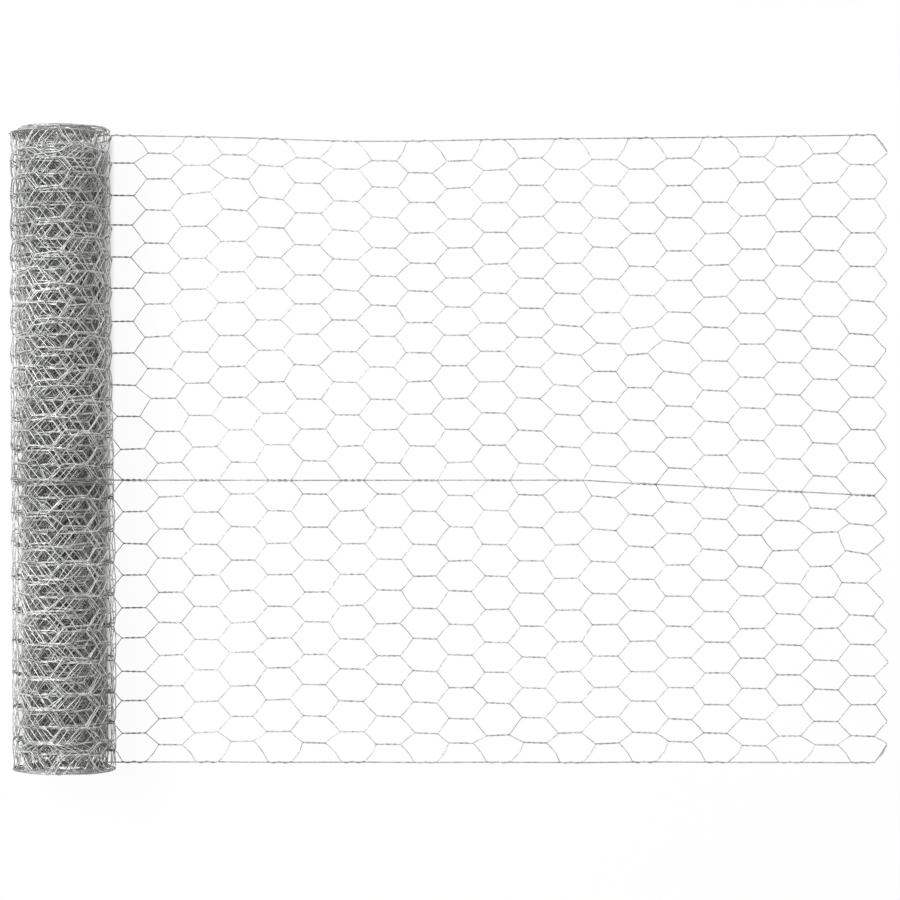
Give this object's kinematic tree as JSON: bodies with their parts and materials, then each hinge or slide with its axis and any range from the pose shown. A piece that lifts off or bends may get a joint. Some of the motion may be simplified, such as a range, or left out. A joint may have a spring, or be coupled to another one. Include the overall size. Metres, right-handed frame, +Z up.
{
  "type": "roll of chicken wire",
  "caption": "Roll of galvanised hexagonal wire netting lying on its side, with an open core and its free end unrolled flat on the floor.",
  "frame": {"origin": "under the middle of the whole object, on the floor", "axes": "+X along the unrolled netting from the roll to its free end, +Y along the roll's axis towards the far edge wire, +Z up"},
  "size_m": [0.6933, 0.5024, 0.0819],
  "materials": {
    "galvanised_wire": "galvanised, dull grey"
  },
  "bodies": {
    "root": {"netting_roll": "galvanised_wire", "flat_netting_far_by_roll": "galvanised_wire", "flat_netting_far_free_end": "galvanised_wire", "flat_netting_near_by_roll": "galvanised_wire", "flat_netting_near_free_end": "galvanised_wire", "far_edge_wire": "galvanised_wire", "middle_wire": "galvanised_wire", "near_edge_wire": "galvanised_wire"}
  },
  "joints": []
}
